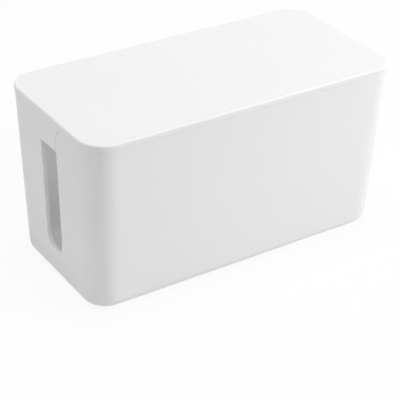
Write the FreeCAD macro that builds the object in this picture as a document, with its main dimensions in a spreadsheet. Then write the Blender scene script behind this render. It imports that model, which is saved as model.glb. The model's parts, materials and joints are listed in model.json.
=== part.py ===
"""Cable management box: a drafted tub with a cable slot in each end, a lift-off lid and four feet.

All lengths are in millimetres. X runs along the box, Y across it and Z up. The origin lies
under the middle of the box, on the surface that the feet stand on.
"""
import FreeCAD, Part
import math
import os

import Sketcher

doc = FreeCAD.newDocument("cable_management_box")

# Driving dimensions

SIZES = {
    # Lid, which sets the overall length and width
    "lid_length": 236.0,
    "lid_width": 115.0,
    "lid_corner_radius": 18.0,
    "lid_rim_height": 4.1,
    "lid_edge_radius": 1.2,
    "lid_seam_bevel": 0.5,
    "lid_overhang": 0.4,
    "lid_plate": 2.8,
    # Tub
    "body_height": 120.4,
    "wall": 3.0,
    "end_draft_degrees": 1.6,
    "side_draft_degrees": 2.4,
    "base_edge_radius": 8.0,
    "rim_edge_bevel": 0.3,
    # Cable slots, measured up from the underside of the tub
    "slot_width": 20.8,
    "slot_base_height": 21.5,
    "slot_flare_radius": 12.5,
    # Lid tabs, which close the flared tops of the slots
    "tab_depth": 19.2,
    "tab_clearance": 0.25,
    "tab_edge_bevel": 0.2,
    # Skirt that centres the lid inside the tub
    "skirt_depth": 8.0,
    "skirt_thickness": 2.0,
    "skirt_clearance": 0.4,
    "skirt_edge_bevel": 0.6,
    # Rubber feet, glued into shallow recesses
    "foot_diameter": 12.0,
    "foot_height": 2.0,
    "foot_recess": 1.0,
    "foot_clearance": 0.2,
    "foot_inset": 12.0,
    "foot_edge_bevel": 0.5,
    # How far a cut runs past the solid that it cuts
    "overrun": 5.0,
}

sheet = doc.addObject("Spreadsheet::Sheet", "sizes")
for row, (alias, number) in enumerate(SIZES.items(), start=1):
    sheet.set(f"A{row}", alias)
    sheet.set(f"B{row}", str(number))
    sheet.setAlias(f"B{row}", alias)
doc.recompute()

# Sizes worked out from the driving dimensions, as expressions

STAND_HEIGHT = "(sizes.foot_height - sizes.foot_recess)"
END_DRAFT = "sizes.end_draft_degrees"
SIDE_DRAFT = "sizes.side_draft_degrees"
END_DRAFT_INSET = f"(sizes.body_height * tan({END_DRAFT}))"
SIDE_DRAFT_INSET = f"(sizes.body_height * tan({SIDE_DRAFT}))"
BODY_LENGTH = "(sizes.lid_length - 2 * sizes.lid_overhang)"
BODY_WIDTH = "(sizes.lid_width - 2 * sizes.lid_overhang)"
BODY_CORNER = "(sizes.lid_corner_radius - sizes.lid_overhang)"
SKIRT_INSET = "(sizes.wall + sizes.skirt_clearance)"
SKIRT_INNER_INSET = f"({SKIRT_INSET} + sizes.skirt_thickness)"
SLOT_HALF = "(sizes.slot_width / 2)"
TAB_HALF = f"({SLOT_HALF} - sizes.tab_clearance)"
FLARE_CENTRE = f"({SLOT_HALF} + sizes.slot_flare_radius)"
FOOT_X = f"({BODY_LENGTH} / 2 - {END_DRAFT_INSET} - sizes.base_edge_radius - sizes.foot_inset)"
FOOT_Y = f"({BODY_WIDTH} / 2 - {SIDE_DRAFT_INSET} - sizes.base_edge_radius - sizes.foot_inset)"

# How near an edge must lie to a level to be taken as lying on it
LEVEL_TOLERANCE = 0.001

# The share of a unit direction above which it is taken as pointing that way
FACING_SHARE = 0.9

# The feet stand near the corners of the flat underside: which side of the middle each is on, along X and Y
FEET = {
    "foot_front_left": (-1, -1),
    "foot_front_right": (1, -1),
    "foot_rear_left": (-1, 1),
    "foot_rear_right": (1, 1),
}


def value(expression):
    """The number that an expression in the sheet's sizes stands for."""
    return float(sheet.evalExpression(expression.replace("sizes.", "")))


def new_body(name):
    """An empty body that is named after the piece."""
    body = doc.addObject("PartDesign::Body", name)
    body.Label = name
    return body


def new_sketch(body, name, role="XY_Plane", height=None):
    """A sketch on one of the body's own origin planes, raised by the given expression."""
    sketch = body.newObject("Sketcher::SketchObject", name)
    plane = next(feature for feature in body.Origin.OriginFeatures if feature.Role == role)
    sketch.AttachmentSupport = [(plane, "")]
    sketch.MapMode = "FlatFace"
    if height:
        sketch.setExpression("AttachmentOffset.Base.z", height)
    return sketch


def bind(sketch, name, constraint, expression):
    """Add a dimension to a sketch and tie it to an expression."""
    index = sketch.addConstraint(constraint)
    sketch.renameConstraint(index, name)
    sketch.setExpression(f"Constraints.{name}", expression)


def line(start, end):
    """A straight edge of a sketch, between two points given as (across, up)."""
    return Part.LineSegment(FreeCAD.Vector(*start, 0), FreeCAD.Vector(*end, 0))


def arc(centre, radius, first_turn, last_turn):
    """A round edge of a sketch, whose ends are given in quarter turns from its first axis."""
    circle = Part.Circle(FreeCAD.Vector(*centre, 0), FreeCAD.Vector(0, 0, 1), radius)
    return Part.ArcOfCircle(circle, first_turn * math.pi / 2, last_turn * math.pi / 2)


def draw_rectangle(sketch, length, width):
    """Draw a centred rectangle, each size an expression."""
    half_x, half_y = value(length) / 2, value(width) / 2
    sketch.addGeometry([
        line((-half_x, -half_y), (half_x, -half_y)),
        line((half_x, -half_y), (half_x, half_y)),
        line((half_x, half_y), (-half_x, half_y)),
        line((-half_x, half_y), (-half_x, -half_y)),
    ], False)
    front, right, back, left = range(4)
    for edge in range(4):
        sketch.addConstraint(Sketcher.Constraint("Coincident", edge, 2, (edge + 1) % 4, 1))
    for edge in (front, back):
        sketch.addConstraint(Sketcher.Constraint("Horizontal", edge))
    for edge in (left, right):
        sketch.addConstraint(Sketcher.Constraint("Vertical", edge))
    sketch.addConstraint(Sketcher.Constraint("Symmetric", front, 1, back, 1, -1, 1))
    bind(sketch, "length", Sketcher.Constraint("DistanceX", front, 1, front, 2, 2 * half_x), length)
    bind(sketch, "width", Sketcher.Constraint("DistanceY", right, 1, right, 2, 2 * half_y), width)


def draw_rounded_rectangle(sketch, length, width, radius):
    """Draw a centred rectangle with round corners, each size an expression."""
    half_x, half_y, corner = value(length) / 2, value(width) / 2, value(radius)
    mid_x, mid_y = half_x - corner, half_y - corner
    sketch.addGeometry([
        line((-mid_x, -half_y), (mid_x, -half_y)),
        arc((mid_x, -mid_y), corner, -1, 0),
        line((half_x, -mid_y), (half_x, mid_y)),
        arc((mid_x, mid_y), corner, 0, 1),
        line((mid_x, half_y), (-mid_x, half_y)),
        arc((-mid_x, mid_y), corner, 1, 2),
        line((-half_x, mid_y), (-half_x, -mid_y)),
        arc((-mid_x, -mid_y), corner, 2, 3),
    ], False)
    front, right, back, left = 0, 2, 4, 6
    corners = (1, 3, 5, 7)
    for edge in range(8):
        sketch.addConstraint(Sketcher.Constraint("Tangent", edge, 2, (edge + 1) % 8, 1))
    for edge in (front, back):
        sketch.addConstraint(Sketcher.Constraint("Horizontal", edge))
    for edge in (left, right):
        sketch.addConstraint(Sketcher.Constraint("Vertical", edge))
    for edge in corners[1:]:
        sketch.addConstraint(Sketcher.Constraint("Equal", corners[0], edge))
    sketch.addConstraint(Sketcher.Constraint("Symmetric", corners[1], 3, corners[3], 3, -1, 1))
    bind(sketch, "length", Sketcher.Constraint("DistanceX", left, 1, right, 2, 2 * half_x), length)
    bind(sketch, "width", Sketcher.Constraint("DistanceY", front, 1, back, 2, 2 * half_y), width)
    bind(sketch, "corner", Sketcher.Constraint("Radius", corners[0], corner), radius)


def body_outline(body, name, height, inset):
    """A sketch of the tub's rim outline at a height, drawn in all round by an inset."""
    sketch = new_sketch(body, name, height=height)
    length = f"({BODY_LENGTH} - 2 * {inset})"
    width = f"({BODY_WIDTH} - 2 * {inset})"
    draw_rounded_rectangle(sketch, length, width, f"({BODY_CORNER} - {inset})")
    return sketch


def extrude(body, kind, name, sketch, length, downward=False, draft=None):
    """Pad or pocket a sketch by a length, drawn in by a wall's draft where it is moulded so."""
    feature = body.newObject(f"PartDesign::{kind}", name)
    feature.Profile = sketch
    feature.setExpression("Length", length)
    feature.Reversed = downward != (kind == "Pocket")
    if draft:
        feature.setExpression("TaperAngle", f"-{draft}")
    doc.recompute()
    return feature


def face_names(shape, wanted):
    """The names of a shape's flat faces whose outward direction passes the test given."""
    return [f"Face{number}" for number, face in enumerate(shape.Faces, start=1)
            if isinstance(face.Surface, Part.Plane) and wanted(face.normalAt(0, 0))]


def faces_up(normal):
    """Whether a direction points straight up."""
    return normal.z > FACING_SHARE


def faces_along_x(normal):
    """Whether a direction points out of either end of the box."""
    return abs(normal.x) > FACING_SHARE


def faces_along_y(normal):
    """Whether a direction points out of either long side of the box."""
    return abs(normal.y) > FACING_SHARE


def draft_walls(body, name, base, wanted, angle):
    """Draw in the walls that pass the test given, from the rim down."""
    feature = body.newObject("PartDesign::Draft", name)
    feature.Base = (base, face_names(base.Shape, wanted))
    feature.NeutralPlane = (base, face_names(base.Shape, faces_up))
    feature.Reversed = True
    feature.setExpression("Angle", angle)
    doc.recompute()
    return feature


def hollow_out(body, name, base, wall):
    """Leave a wall of even thickness inside a solid that is open at the top."""
    feature = body.newObject("PartDesign::Thickness", name)
    feature.Base = (base, face_names(base.Shape, faces_up))
    feature.Reversed = True
    feature.Join = "Intersection"
    feature.setExpression("Value", wall)
    doc.recompute()
    return feature


def cut_through(body, name, sketch):
    """Cut a sketch through the whole body, both ways from its plane."""
    feature = body.newObject("PartDesign::Pocket", name)
    feature.Profile = sketch
    feature.Type = "ThroughAll"
    feature.Midplane = True
    doc.recompute()
    return feature


def dress_edges(body, kind, name, base, wanted, size):
    """Round or bevel the edges of a feature that pass the test given."""
    edges = [f"Edge{number}" for number, edge in enumerate(base.Shape.Edges, start=1) if wanted(edge)]
    feature = body.newObject(f"PartDesign::{kind}", name)
    feature.Base = (base, edges)
    feature.setExpression({"Fillet": "Radius", "Chamfer": "Size"}[kind], size)
    doc.recompute()
    return feature


def round_edges(body, name, base, wanted, radius):
    """Round the edges of a feature that pass the test given."""
    return dress_edges(body, "Fillet", name, base, wanted, radius)


def bevel_edges(body, name, base, wanted, size):
    """Bevel the edges of a feature that pass the test given."""
    return dress_edges(body, "Chamfer", name, base, wanted, size)


def level(edge, height):
    """Whether an edge lies flat at a height."""
    box = edge.BoundBox
    return max(abs(box.ZMin - height), abs(box.ZMax - height)) < LEVEL_TOLERANCE


def circle_at(sketch, name, x_sign, y_sign, diameter):
    """Draw a circle where a foot goes, in the quarter of the underside that the signs give."""
    x, y = x_sign * value(FOOT_X), y_sign * value(FOOT_Y)
    centre = FreeCAD.Vector(x, y, 0)
    circle = sketch.addGeometry(Part.Circle(centre, FreeCAD.Vector(0, 0, 1), value(diameter) / 2), False)
    bind(sketch, f"{name}_x", Sketcher.Constraint("DistanceX", -1, 1, circle, 3, x), f"{x_sign} * {FOOT_X}")
    bind(sketch, f"{name}_y", Sketcher.Constraint("DistanceY", -1, 1, circle, 3, y), f"{y_sign} * {FOOT_Y}")
    bind(sketch, f"{name}_size", Sketcher.Constraint("Diameter", circle, value(diameter)), diameter)


def draw_slot(sketch):
    """Draw a cable slot: a round bottom, straight sides and a flare that runs out into the rim."""
    half, flare = value(SLOT_HALF), value("sizes.slot_flare_radius")
    bottom = value("sizes.slot_base_height") + half
    rim, top = value("sizes.body_height"), value("sizes.body_height + sizes.overrun")
    centre = half + flare
    sketch.addGeometry([
        arc((0, bottom), half, 2, 4),
        line((half, bottom), (half, rim - flare)),
        arc((centre, rim - flare), flare, 1, 2),
        line((centre, rim), (centre, top)),
        line((centre, top), (-centre, top)),
        line((-centre, top), (-centre, rim)),
        arc((-centre, rim - flare), flare, 0, 1),
        line((-half, rim - flare), (-half, bottom)),
    ], False)
    base, right_side, right_flare, right_top, roof, left_top, left_flare, left_side = range(8)
    sketch.addConstraint([
        Sketcher.Constraint("Tangent", base, 2, right_side, 1),
        Sketcher.Constraint("Tangent", right_side, 2, right_flare, 2),
        Sketcher.Constraint("Coincident", right_flare, 1, right_top, 1),
        Sketcher.Constraint("Coincident", right_top, 2, roof, 1),
        Sketcher.Constraint("Coincident", roof, 2, left_top, 1),
        Sketcher.Constraint("Coincident", left_top, 2, left_flare, 2),
        Sketcher.Constraint("Tangent", left_flare, 1, left_side, 1),
        Sketcher.Constraint("Tangent", left_side, 2, base, 1),
        Sketcher.Constraint("Vertical", right_side),
        Sketcher.Constraint("Vertical", left_side),
        Sketcher.Constraint("Vertical", right_top),
        Sketcher.Constraint("Vertical", left_top),
        Sketcher.Constraint("Horizontal", roof),
        Sketcher.Constraint("Equal", right_flare, left_flare),
        Sketcher.Constraint("PointOnObject", base, 3, -2),
    ])
    sketch.addConstraint(Sketcher.Constraint("Vertical", right_flare, 3, right_flare, 1))
    sketch.addConstraint(Sketcher.Constraint("Vertical", left_flare, 3, left_flare, 2))
    bind(sketch, "half_width", Sketcher.Constraint("Radius", base, half), SLOT_HALF)
    bind(sketch, "flare", Sketcher.Constraint("Radius", right_flare, flare), "sizes.slot_flare_radius")
    bind(sketch, "base", Sketcher.Constraint("DistanceY", -1, 1, base, 3, bottom),
         f"sizes.slot_base_height + {SLOT_HALF}")
    for side, flare_end in (("right", (right_flare, 1)), ("left", (left_flare, 2))):
        bind(sketch, f"{side}_rim", Sketcher.Constraint("DistanceY", -1, 1, *flare_end, rim),
             "sizes.body_height")
    bind(sketch, "roof", Sketcher.Constraint("DistanceY", -1, 1, roof, 1, top),
         "sizes.body_height + sizes.overrun")


def make_box_shell():
    """The tub: drafted walls, a rounded base, an open top and a cable slot in each end wall."""
    body = new_body("box_shell")
    body.setExpression("Placement.Base.z", STAND_HEIGHT)

    outline = new_sketch(body, "rim_outline", height="sizes.body_height")
    draw_rectangle(outline, BODY_LENGTH, BODY_WIDTH)
    block = extrude(body, "Pad", "block", outline, "sizes.body_height", downward=True)
    ends = draft_walls(body, "end_draft", block, faces_along_x, END_DRAFT)
    sides = draft_walls(body, "side_draft", ends, faces_along_y, SIDE_DRAFT)
    rim = value("sizes.body_height")
    corners = round_edges(body, "corners", sides, lambda edge: edge.BoundBox.ZLength > rim / 2, BODY_CORNER)
    hollow = hollow_out(body, "cavity", corners, "sizes.wall")
    floor = value("sizes.wall")
    floored = round_edges(body, "floor_edge", hollow, lambda edge: level(edge, floor),
                          "sizes.base_edge_radius - sizes.wall")
    round_edges(body, "base_edge", floored, lambda edge: level(edge, 0), "sizes.base_edge_radius")

    recesses = new_sketch(body, "foot_recess_outlines")
    for name, signs in FEET.items():
        circle_at(recesses, name, *signs, "sizes.foot_diameter + 2 * sizes.foot_clearance")
    extrude(body, "Pocket", "foot_recesses", recesses, "sizes.foot_recess")

    slot = new_sketch(body, "slot_outline", role="YZ_Plane")
    draw_slot(slot)
    slots = cut_through(body, "cable_slots", slot)

    slot_base = value("sizes.slot_base_height")
    slot_reach = value(FLARE_CENTRE)
    end_wall = value(BODY_LENGTH) / 2 - value(END_DRAFT_INSET) - value("sizes.wall")

    def on_rim_or_slot(edge):
        """Whether an edge belongs to the rim's or a slot's outline, on either face of the wall."""
        box = edge.BoundBox
        if level(edge, rim):
            crosses_the_wall = edge.Length < value("sizes.wall") + LEVEL_TOLERANCE
            return not crosses_the_wall
        above_slot_base = box.ZMin > slot_base - LEVEL_TOLERANCE
        within_flare = max(-box.YMin, box.YMax) < slot_reach + LEVEL_TOLERANCE
        in_end_wall = min(abs(box.XMin), abs(box.XMax)) > end_wall
        crosses_the_wall = box.ZLength < LEVEL_TOLERANCE
        return above_slot_base and within_flare and in_end_wall and not crosses_the_wall

    bevel_edges(body, "rim_and_slot_edges", slots, on_rim_or_slot, "sizes.rim_edge_bevel")
    return body


def draw_beside_tabs(sketch):
    """Draw all that lies beside and below the tabs, seen from the end, with the seam at zero."""
    tab, centre = value(TAB_HALF), value(FLARE_CENTRE)
    flare = value("sizes.slot_flare_radius")
    arc_radius = value("sizes.slot_flare_radius + sizes.tab_clearance")
    reach = math.sqrt(arc_radius ** 2 - flare ** 2)
    seam_turn = 2 - math.asin(flare / arc_radius) / (math.pi / 2)
    side = value("sizes.lid_width / 2 + sizes.overrun")
    foot, bottom = value("sizes.tab_depth"), value("sizes.tab_depth + sizes.overrun")
    sketch.addGeometry([
        line((side, 0), (centre - reach, 0)),
        arc((centre, -flare), arc_radius, seam_turn, 2),
        line((tab, -flare), (tab, -foot)),
        line((tab, -foot), (-tab, -foot)),
        line((-tab, -foot), (-tab, -flare)),
        arc((-centre, -flare), arc_radius, 0, 2 - seam_turn),
        line((reach - centre, 0), (-side, 0)),
        line((-side, 0), (-side, -bottom)),
        line((-side, -bottom), (side, -bottom)),
        line((side, -bottom), (side, 0)),
    ], False)
    (right_seam, right_flare, right_side, tab_end, left_side, left_flare, left_seam,
     left_edge, lower_edge, right_edge) = range(10)
    sketch.addConstraint([
        Sketcher.Constraint("Coincident", right_seam, 2, right_flare, 1),
        Sketcher.Constraint("Tangent", right_flare, 2, right_side, 1),
        Sketcher.Constraint("Coincident", right_side, 2, tab_end, 1),
        Sketcher.Constraint("Coincident", tab_end, 2, left_side, 1),
        Sketcher.Constraint("Tangent", left_side, 2, left_flare, 1),
        Sketcher.Constraint("Coincident", left_flare, 2, left_seam, 1),
        Sketcher.Constraint("Coincident", left_seam, 2, left_edge, 1),
        Sketcher.Constraint("Coincident", left_edge, 2, lower_edge, 1),
        Sketcher.Constraint("Coincident", lower_edge, 2, right_edge, 1),
        Sketcher.Constraint("Coincident", right_edge, 2, right_seam, 1),
        Sketcher.Constraint("Vertical", right_side),
        Sketcher.Constraint("Vertical", left_side),
        Sketcher.Constraint("Vertical", left_edge),
        Sketcher.Constraint("Vertical", right_edge),
        Sketcher.Constraint("PointOnObject", right_seam, 1, -1),
        Sketcher.Constraint("PointOnObject", right_seam, 2, -1),
        Sketcher.Constraint("PointOnObject", left_seam, 1, -1),
        Sketcher.Constraint("PointOnObject", left_seam, 2, -1),
        Sketcher.Constraint("Symmetric", tab_end, 1, tab_end, 2, -2),
        Sketcher.Constraint("Symmetric", lower_edge, 1, lower_edge, 2, -2),
        Sketcher.Constraint("Equal", right_flare, left_flare),
    ])
    bind(sketch, "tab_width", Sketcher.Constraint("DistanceX", tab_end, 2, tab_end, 1, 2 * tab),
         f"2 * {TAB_HALF}")
    bind(sketch, "tab_depth", Sketcher.Constraint("DistanceY", tab_end, 1, -1, 1, foot), "sizes.tab_depth")
    bind(sketch, "flare_level", Sketcher.Constraint("DistanceY", right_flare, 3, -1, 1, flare),
         "sizes.slot_flare_radius")
    bind(sketch, "left_flare_level", Sketcher.Constraint("DistanceY", left_flare, 3, -1, 1, flare),
         "sizes.slot_flare_radius")
    bind(sketch, "flare", Sketcher.Constraint("Radius", right_flare, arc_radius),
         "sizes.slot_flare_radius + sizes.tab_clearance")
    bind(sketch, "span", Sketcher.Constraint("DistanceX", lower_edge, 1, lower_edge, 2, 2 * side),
         "sizes.lid_width + 2 * sizes.overrun")
    bind(sketch, "drop", Sketcher.Constraint("DistanceY", lower_edge, 1, -1, 1, bottom),
         "sizes.tab_depth + sizes.overrun")


def make_lid():
    """The lid, with its seam at zero: a slab, a tab at each end and a skirt that centres it."""
    body = new_body("lid")
    body.setExpression("Placement.Base.z", f"{STAND_HEIGHT} + sizes.body_height")

    outline = new_sketch(body, "slab_outline")
    draw_rounded_rectangle(outline, "sizes.lid_length", "sizes.lid_width", "sizes.lid_corner_radius")
    slab = extrude(body, "Pad", "slab", outline, "sizes.lid_rim_height")
    top = value("sizes.lid_rim_height")
    rounded = round_edges(body, "top_edge", slab, lambda edge: level(edge, top), "sizes.lid_edge_radius")
    bevel_edges(body, "seam_edge", rounded, lambda edge: level(edge, 0), "sizes.lid_seam_bevel")

    wall_line = body_outline(body, "wall_outline", None, "0")
    extrude(body, "Pad", "tab_stock", wall_line, "sizes.tab_depth", downward=True, draft=END_DRAFT)
    beside = new_sketch(body, "beside_tabs", role="YZ_Plane")
    draw_beside_tabs(beside)
    cut_through(body, "tab_sides", beside)
    between = body_outline(body, "tab_inner_outline", None, "sizes.wall")
    tabs = extrude(body, "Pocket", "tab_faces", between, "sizes.tab_depth + sizes.overrun",
                   downward=True, draft=END_DRAFT)
    tab_end = -value("sizes.tab_depth")
    bevel_edges(body, "tab_edges", tabs, lambda edge: level(edge, tab_end), "sizes.tab_edge_bevel")

    skirt_line = body_outline(body, "skirt_outline", None, SKIRT_INSET)
    skirt = extrude(body, "Pad", "skirt", skirt_line, "sizes.skirt_depth", downward=True, draft=SIDE_DRAFT)
    skirt_end = -value("sizes.skirt_depth")
    bevel_edges(body, "skirt_edge", skirt, lambda edge: level(edge, skirt_end), "sizes.skirt_edge_bevel")

    root_line = new_sketch(body, "tab_root_outline")
    length, width = f"({BODY_LENGTH} - sizes.wall)", f"(2 * {TAB_HALF})"
    draw_rounded_rectangle(root_line, length, width, "sizes.wall / 2")
    extrude(body, "Pad", "tab_roots", root_line, "sizes.skirt_depth", downward=True, draft=END_DRAFT)

    ceiling = "sizes.lid_rim_height - sizes.lid_plate"
    hollow_line = body_outline(body, "hollow_outline", ceiling, SKIRT_INNER_INSET)
    depth = f"{ceiling} + sizes.skirt_depth + sizes.overrun"
    extrude(body, "Pocket", "hollow", hollow_line, depth, downward=True, draft=SIDE_DRAFT)
    return body


def make_foot(name, x_sign, y_sign):
    """One round rubber foot, standing on the surface with its top in the tub's recess."""
    body = new_body(name)
    body.setExpression("Placement.Base.x", f"{x_sign} * {FOOT_X}")
    body.setExpression("Placement.Base.y", f"{y_sign} * {FOOT_Y}")
    outline = new_sketch(body, f"{name}_outline")
    radius = value("sizes.foot_diameter") / 2
    outline.addGeometry(Part.Circle(FreeCAD.Vector(0, 0, 0), FreeCAD.Vector(0, 0, 1), radius), False)
    outline.addConstraint(Sketcher.Constraint("Coincident", 0, 3, -1, 1))
    bind(outline, "diameter", Sketcher.Constraint("Diameter", 0, 2 * radius), "sizes.foot_diameter")
    disc = extrude(body, "Pad", f"{name}_disc", outline, "sizes.foot_height")
    bevel_edges(body, f"{name}_edge", disc, lambda edge: level(edge, 0), "sizes.foot_edge_bevel")
    return body


def check_and_export(bodies):
    """Stop at a feature that failed or a shape that isn't one valid solid, then write each piece."""
    doc.recompute()
    for item in doc.Objects:
        if "Invalid" in item.State or "Error" in item.State:
            raise RuntimeError(f"{item.Label} failed: {item.State}")
    for body in bodies:
        if body.Shape.isNull() or not body.Shape.isValid() or len(body.Shape.Solids) != 1:
            raise RuntimeError(f"{body.Label} isn't one valid solid")
    os.makedirs("parts", exist_ok=True)
    for body in bodies:
        body.Shape.exportStep(f"parts/{body.Label}.step")
        box = body.Shape.BoundBox
        print(f"{body.Label}: {body.Shape.Volume:.0f} mm3, "
              f"X {box.XMin:.2f} to {box.XMax:.2f}, Y {box.YMin:.2f} to {box.YMax:.2f}, "
              f"Z {box.ZMin:.2f} to {box.ZMax:.2f}")


pieces = [make_box_shell(), make_lid()]
pieces += [make_foot(name, *signs) for name, signs in FEET.items()]
check_and_export(pieces)
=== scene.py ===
import json
import math

import bpy
from mathutils import Matrix, Vector

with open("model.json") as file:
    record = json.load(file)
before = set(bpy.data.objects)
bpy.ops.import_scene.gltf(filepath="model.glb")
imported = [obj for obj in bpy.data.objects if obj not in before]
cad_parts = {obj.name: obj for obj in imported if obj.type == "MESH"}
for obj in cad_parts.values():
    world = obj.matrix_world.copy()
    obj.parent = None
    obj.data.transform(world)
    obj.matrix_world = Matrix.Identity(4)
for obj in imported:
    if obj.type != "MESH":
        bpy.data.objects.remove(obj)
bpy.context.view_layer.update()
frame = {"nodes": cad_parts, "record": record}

# The photograph's camera: angles in degrees, lengths in metres, sensor and lens in millimetres

CAMERA_AZIMUTH = -33.908
CAMERA_ELEVATION = 31.269
CAMERA_ROLL = 1.558
CAMERA_DISTANCE = 0.927483
CAMERA_SIDE_STEP = -0.001857
CAMERA_RISE = -0.030269
CAMERA_AIM_HEIGHT = 0.061
CAMERA_CLIP_START = 0.01
SENSOR_WIDTH = 36.0
LENS = 122.0177

# Light and surroundings: lengths in metres

WHITE = (1.0, 1.0, 1.0, 1.0)
# The strength at which a glow shows as plain white
WHITE_STRENGTH = 1.0
# The strength of the room's light on the object
ROOM_STRENGTH = 0.475
FLOOR_SIZE = 6.0
FLOOR_COLOUR = (0.86, 0.86, 0.86, 1.0)
# How much of the floor's own shading shows, and so of the shadow on it
FLOOR_SHADOW_SHARE = 0.10
BOX_MIDDLE = (0.0, 0.0, 0.06)

# Each softbox: where it hangs, what it points at, its two sides and its power in watts
SOFTBOXES = {
    "top": ((0.0, 0.0, 1.80), BOX_MIDDLE, (1.0, 0.7), 10.2),
    "right": ((0.879, -0.738, 0.670), BOX_MIDDLE, (0.4, 0.4), 7.7),
    "left": ((-1.088, 0.440, 0.310), BOX_MIDDLE, (0.7, 0.7), 1.3),
    "rear": ((0.0, 1.128, 0.470), BOX_MIDDLE, (0.8, 0.5), 1.5),
    # A faint light under the lid, for the daylight that real walls of thin white plastic let in
    "cavity": ((0.0, 0.0, 0.105), (0.0, 0.0, 0.0), (0.18, 0.07), 0.042),
}

# Finishes: lengths in metres, and noise scales in waves per metre

ABS_COLOUR = (0.86, 0.86, 0.86, 1.0)
ABS_SHADE = (0.84, 0.84, 0.842, 1.0)
ABS_IOR = 1.52
# How far light spreads inside the plastic, and each colour's share of that
ABS_DEPTH = 0.001
ABS_DEPTH_SHARES = (1.0, 0.95, 0.9)
# The slow cloud that the colour and the gloss follow, and the roughness at its two ends
ABS_CLOUD_SCALE = 14.0
ABS_CLOUD_DETAIL = 3.0
ABS_ROUGHNESS_LOW = 0.40
ABS_ROUGHNESS_HIGH = 0.50
ABS_GRAIN_SCALE = 2600.0
ABS_GRAIN_STRENGTH = 0.25
ABS_GRAIN_HEIGHT = 0.00002

RUBBER_COLOUR = (0.48, 0.48, 0.47, 1.0)
RUBBER_ROUGHNESS = 0.8
RUBBER_GRAIN_SCALE = 3000.0
RUBBER_GRAIN_STRENGTH = 0.5
RUBBER_GRAIN_HEIGHT = 0.00005


def direction(azimuth, elevation):
    """The way from the object to the camera, for angles in degrees."""
    around, up = math.radians(azimuth), math.radians(elevation)
    level = math.cos(up)
    return Vector((math.sin(around) * level, -math.cos(around) * level, math.sin(up)))


def add_camera():
    """The photograph's camera, built from its own right, up and backward directions."""
    back = direction(CAMERA_AZIMUTH, CAMERA_ELEVATION)
    level_right = Vector((0, 0, 1)).cross(back).normalized()
    level_up = back.cross(level_right)
    roll = math.radians(CAMERA_ROLL)
    right = level_right * math.cos(roll) + level_up * math.sin(roll)
    up = level_up * math.cos(roll) - level_right * math.sin(roll)
    data = bpy.data.cameras.new("photo_camera")
    data.sensor_width = SENSOR_WIDTH
    data.lens = LENS
    data.clip_start = CAMERA_CLIP_START
    camera = bpy.data.objects.new("photo_camera", data)
    bpy.context.scene.collection.objects.link(camera)
    aim = Vector((0, 0, CAMERA_AIM_HEIGHT))
    camera.location = aim + right * CAMERA_SIDE_STEP + up * CAMERA_RISE + back * CAMERA_DISTANCE
    camera.rotation_mode = "QUATERNION"
    camera.rotation_quaternion = Matrix((right, up, back)).transposed().to_quaternion()
    bpy.context.scene.camera = camera


def add_softbox(name, place, target, sides, power):
    """A rectangular soft light that points at a target and isn't seen itself."""
    data = bpy.data.lights.new(f"{name}_softbox", "AREA")
    data.shape = "RECTANGLE"
    data.size, data.size_y = sides
    data.energy = power
    light = bpy.data.objects.new(f"{name}_softbox", data)
    bpy.context.scene.collection.objects.link(light)
    light.location = place
    light.rotation_mode = "QUATERNION"
    light.rotation_quaternion = (Vector(target) - Vector(place)).to_track_quat("-Z", "Y")
    light.visible_camera = False
    # The lid's top would mirror a softbox at a low angle and clip to white
    light.visible_glossy = False


def new_tree(owner):
    """The emptied node tree of a material or world."""
    owner.use_nodes = True
    owner.node_tree.nodes.clear()
    return owner.node_tree


def add_node(tree, kind, values=None):
    """Add a node of a kind to a tree, and set those of its inputs that are given by name."""
    node = tree.nodes.new(kind)
    for name, value in (values or {}).items():
        node.inputs[name].default_value = value
    return node


def seen_directly(tree):
    """A value of 1 on rays that show a background: direct, in a gloss or through glass."""
    path = add_node(tree, "ShaderNodeLightPath")
    seen = path.outputs["Is Camera Ray"]
    for ray in ("Is Glossy Ray", "Is Transmission Ray"):
        either = add_node(tree, "ShaderNodeMath")
        either.operation = "MAXIMUM"
        tree.links.new(seen, either.inputs[0])
        tree.links.new(path.outputs[ray], either.inputs[1])
        seen = either.outputs[0]
    return seen


def mix_shaders(tree, share, unseen, seen, out):
    """Send a mix of two shaders to a tree's output: none of the second one at a share of 0."""
    mix = add_node(tree, "ShaderNodeMixShader")
    tree.links.new(share, mix.inputs[0])
    tree.links.new(unseen.outputs[0], mix.inputs[1])
    tree.links.new(seen.outputs[0], mix.inputs[2])
    tree.links.new(mix.outputs[0], out.inputs["Surface"])


def add_room():
    """A pale room: white where it is seen, and an even grey light where it lights the object."""
    world = bpy.data.worlds.new("studio")
    bpy.context.scene.world = world
    tree = new_tree(world)
    seen = add_node(tree, "ShaderNodeBackground", {"Color": WHITE, "Strength": WHITE_STRENGTH})
    lit = add_node(tree, "ShaderNodeBackground", {"Color": WHITE, "Strength": ROOM_STRENGTH})
    out = add_node(tree, "ShaderNodeOutputWorld")
    mix_shaders(tree, seen_directly(tree), lit, seen, out)


def floor_material():
    """A pale matt floor that fades to the white of the room and keeps a light shadow."""
    material = bpy.data.materials.new("studio_floor")
    tree = new_tree(material)
    matt = add_node(tree, "ShaderNodeBsdfDiffuse", {"Color": FLOOR_COLOUR})
    white = add_node(tree, "ShaderNodeEmission", {"Color": WHITE, "Strength": WHITE_STRENGTH})
    share = add_node(tree, "ShaderNodeMath")
    share.operation = "MULTIPLY"
    share.inputs[1].default_value = 1 - FLOOR_SHADOW_SHARE
    tree.links.new(seen_directly(tree), share.inputs[0])
    out = add_node(tree, "ShaderNodeOutputMaterial")
    mix_shaders(tree, share.outputs[0], matt, white, out)
    return material


def add_floor():
    """The floor that the box stands on."""
    bpy.ops.mesh.primitive_plane_add(size=FLOOR_SIZE, location=(0, 0, 0))
    floor = bpy.context.object
    floor.name = "studio_floor"
    floor.data.materials.append(floor_material())


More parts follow.
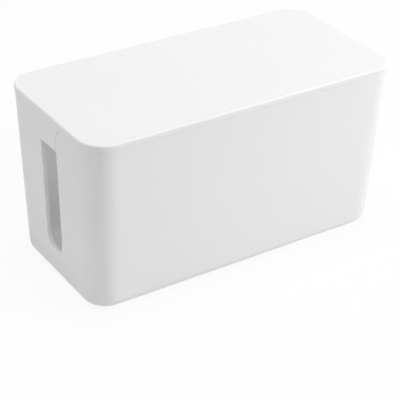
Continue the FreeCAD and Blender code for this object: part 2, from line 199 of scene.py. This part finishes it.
def add_grain(tree, place, surface, scale, strength, height):
    """Raise a fine even grain on a surface, as a bump of its shading alone."""
    grain = add_node(tree, "ShaderNodeTexNoise", {"Scale": scale})
    bump = add_node(tree, "ShaderNodeBump", {"Strength": strength, "Distance": height})
    tree.links.new(place.outputs["Object"], grain.inputs["Vector"])
    tree.links.new(grain.outputs["Fac"], bump.inputs["Height"])
    tree.links.new(bump.outputs["Normal"], surface.inputs["Normal"])


def abs_material():
    """Satin white ABS: a fine spark-eroded grain, and a slow change of gloss across each face."""
    material = bpy.data.materials.new("satin_white_abs")
    tree = new_tree(material)
    place = add_node(tree, "ShaderNodeTexCoord")
    surface = add_node(tree, "ShaderNodeBsdfPrincipled", {
        "IOR": ABS_IOR,
        "Subsurface Weight": 1.0,
        "Subsurface Radius": ABS_DEPTH_SHARES,
        "Subsurface Scale": ABS_DEPTH,
    })
    cloud = add_node(tree, "ShaderNodeTexNoise", {
        "Scale": ABS_CLOUD_SCALE,
        "Detail": ABS_CLOUD_DETAIL,
    })
    colour = add_node(tree, "ShaderNodeMix")
    # Set first, because A and B name the colour inputs in this mode alone
    colour.data_type = "RGBA"
    colour.inputs["A"].default_value = ABS_COLOUR
    colour.inputs["B"].default_value = ABS_SHADE
    gloss = add_node(tree, "ShaderNodeMapRange", {
        "To Min": ABS_ROUGHNESS_LOW,
        "To Max": ABS_ROUGHNESS_HIGH,
    })
    out = add_node(tree, "ShaderNodeOutputMaterial")
    link = tree.links.new
    link(place.outputs["Object"], cloud.inputs["Vector"])
    link(cloud.outputs["Fac"], colour.inputs["Factor"])
    link(colour.outputs["Result"], surface.inputs["Base Color"])
    link(cloud.outputs["Fac"], gloss.inputs["Value"])
    link(gloss.outputs["Result"], surface.inputs["Roughness"])
    add_grain(tree, place, surface, ABS_GRAIN_SCALE, ABS_GRAIN_STRENGTH, ABS_GRAIN_HEIGHT)
    link(surface.outputs[0], out.inputs["Surface"])
    return material


def rubber_material():
    """Soft pale grey rubber with a fine pitted grain."""
    material = bpy.data.materials.new("pale_rubber")
    tree = new_tree(material)
    place = add_node(tree, "ShaderNodeTexCoord")
    surface = add_node(tree, "ShaderNodeBsdfPrincipled", {
        "Base Color": RUBBER_COLOUR,
        "Roughness": RUBBER_ROUGHNESS,
    })
    out = add_node(tree, "ShaderNodeOutputMaterial")
    add_grain(tree, place, surface, RUBBER_GRAIN_SCALE, RUBBER_GRAIN_STRENGTH,
              RUBBER_GRAIN_HEIGHT)
    tree.links.new(surface.outputs[0], out.inputs["Surface"])
    return material


def dress_nodes():
    """Give each CAD piece the finish of its material slot."""
    finishes = {"white_abs": abs_material(), "foot_rubber": rubber_material()}
    slots = {part["node"]: part["material_slot"] for part in frame["record"]["subparts"]}
    for name, piece in frame["nodes"].items():
        piece.material_slots[0].material = finishes[slots[name]]


add_camera()
add_room()
add_floor()
for name, (place, target, sides, power) in SOFTBOXES.items():
    add_softbox(name, place, target, sides, power)
dress_nodes()
bpy.context.scene.view_settings.view_transform = "Standard"
